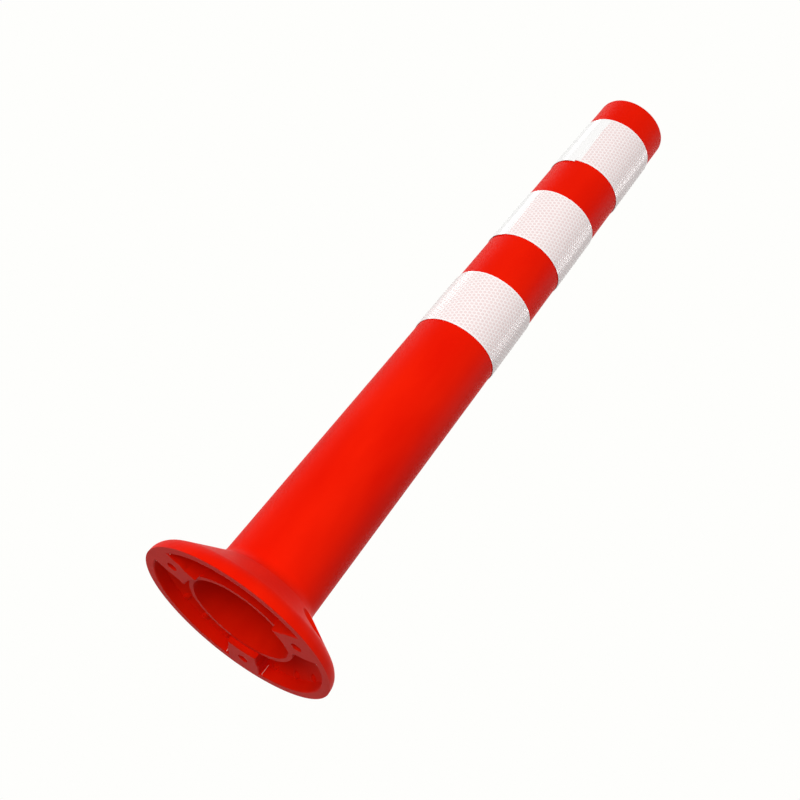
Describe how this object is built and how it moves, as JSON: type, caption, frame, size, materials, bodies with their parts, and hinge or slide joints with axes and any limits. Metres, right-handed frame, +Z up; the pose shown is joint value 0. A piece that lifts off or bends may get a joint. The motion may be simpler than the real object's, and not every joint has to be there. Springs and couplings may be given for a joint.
{
  "type": "flexible delineator post",
  "caption": "Tapered flexible traffic post with a bolt-down conical flange and wrapped reflective bands; it bends over when struck and springs back upright.",
  "frame": {"origin": "centre of the flange's flat underside", "axes": "+Z up along the post; +Y through the first bolt hole"},
  "size_m": [0.21, 0.21, 0.75],
  "materials": {
    "red_polyurethane": "satin moulded",
    "reflective_sheeting": "embossed retroreflective film"
  },
  "bodies": {
    "base": {"base_flange": "red_polyurethane"},
    "bend_1": {"flex_zone_1": "red_polyurethane"},
    "bend_2": {"flex_zone_2": "red_polyurethane"},
    "bend_3": {"flex_zone_3": "red_polyurethane"},
    "post": {"flex_zone_4": "red_polyurethane", "post_tube": "red_polyurethane", "reflective_band_lower": "reflective_sheeting", "reflective_band_middle": "reflective_sheeting", "reflective_band_upper": "reflective_sheeting"}
  },
  "joints": [
    {"name": "bend_x_lower", "type": "hinge", "parent": "base", "child": "bend_1", "pos_m": [0, 0, 0.092], "axis": [0, 1, 0], "range_deg": [-45, 45], "stiffness_Nm_per_rad": 188, "deforming": ["flex_zone_1"]},
    {"name": "bend_x_upper", "type": "hinge", "parent": "bend_1", "child": "bend_2", "pos_m": [0, 0, 0.156], "axis": [0, 1, 0], "range_deg": [-45, 45], "stiffness_Nm_per_rad": 188, "deforming": ["flex_zone_2"]},
    {"name": "bend_y_lower", "type": "hinge", "parent": "bend_2", "child": "bend_3", "pos_m": [0, 0, 0.22], "axis": [1, 0, 0], "range_deg": [-45, 45], "stiffness_Nm_per_rad": 188, "deforming": ["flex_zone_3"]},
    {"name": "bend_y_upper", "type": "hinge", "parent": "bend_3", "child": "post", "pos_m": [0, 0, 0.284], "axis": [1, 0, 0], "range_deg": [-45, 45], "stiffness_Nm_per_rad": 188, "deforming": ["flex_zone_4"]}
  ],
  "couplings": [
    {"joint": "bend_x_upper", "follows": "bend_x_lower", "ratio": 1},
    {"joint": "bend_y_upper", "follows": "bend_y_lower", "ratio": 1}
  ]
}
